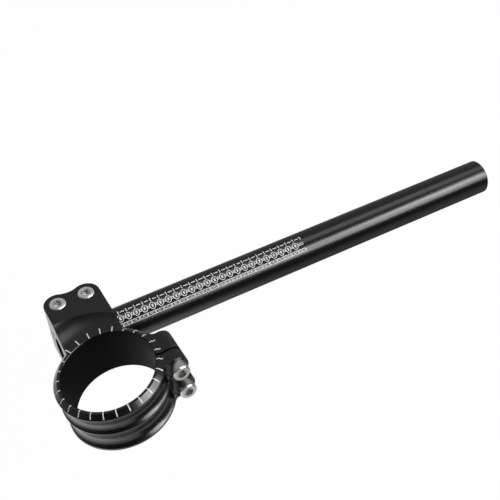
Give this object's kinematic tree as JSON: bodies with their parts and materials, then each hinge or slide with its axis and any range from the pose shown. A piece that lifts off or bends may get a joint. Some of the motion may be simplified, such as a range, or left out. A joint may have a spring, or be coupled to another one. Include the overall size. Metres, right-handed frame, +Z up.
{
  "type": "clip-on handlebar",
  "caption": "Straight handlebar tube held in the pinch block of a split ring that clamps on a motorcycle fork tube, sloping down and away from the fork.",
  "frame": {"origin": "centre of the fork bore at half the ring's height", "axes": "+Z up the fork axis, +Y from the fork axis to the bar axis, +X along the bar seen from above, towards the bar's free end"},
  "size_m": [0.313, 0.0973, 0.0683],
  "materials": {
    "clamp_black": "satin black anodised",
    "bar_black": "satin black anodised",
    "screw_steel": "bright stainless"
  },
  "bodies": {
    "root": {"clamp_body": "clamp_black", "bar_tube": "bar_black", "bar_pinch_screws": "screw_steel", "fork_pinch_screws": "screw_steel"}
  },
  "joints": []
}
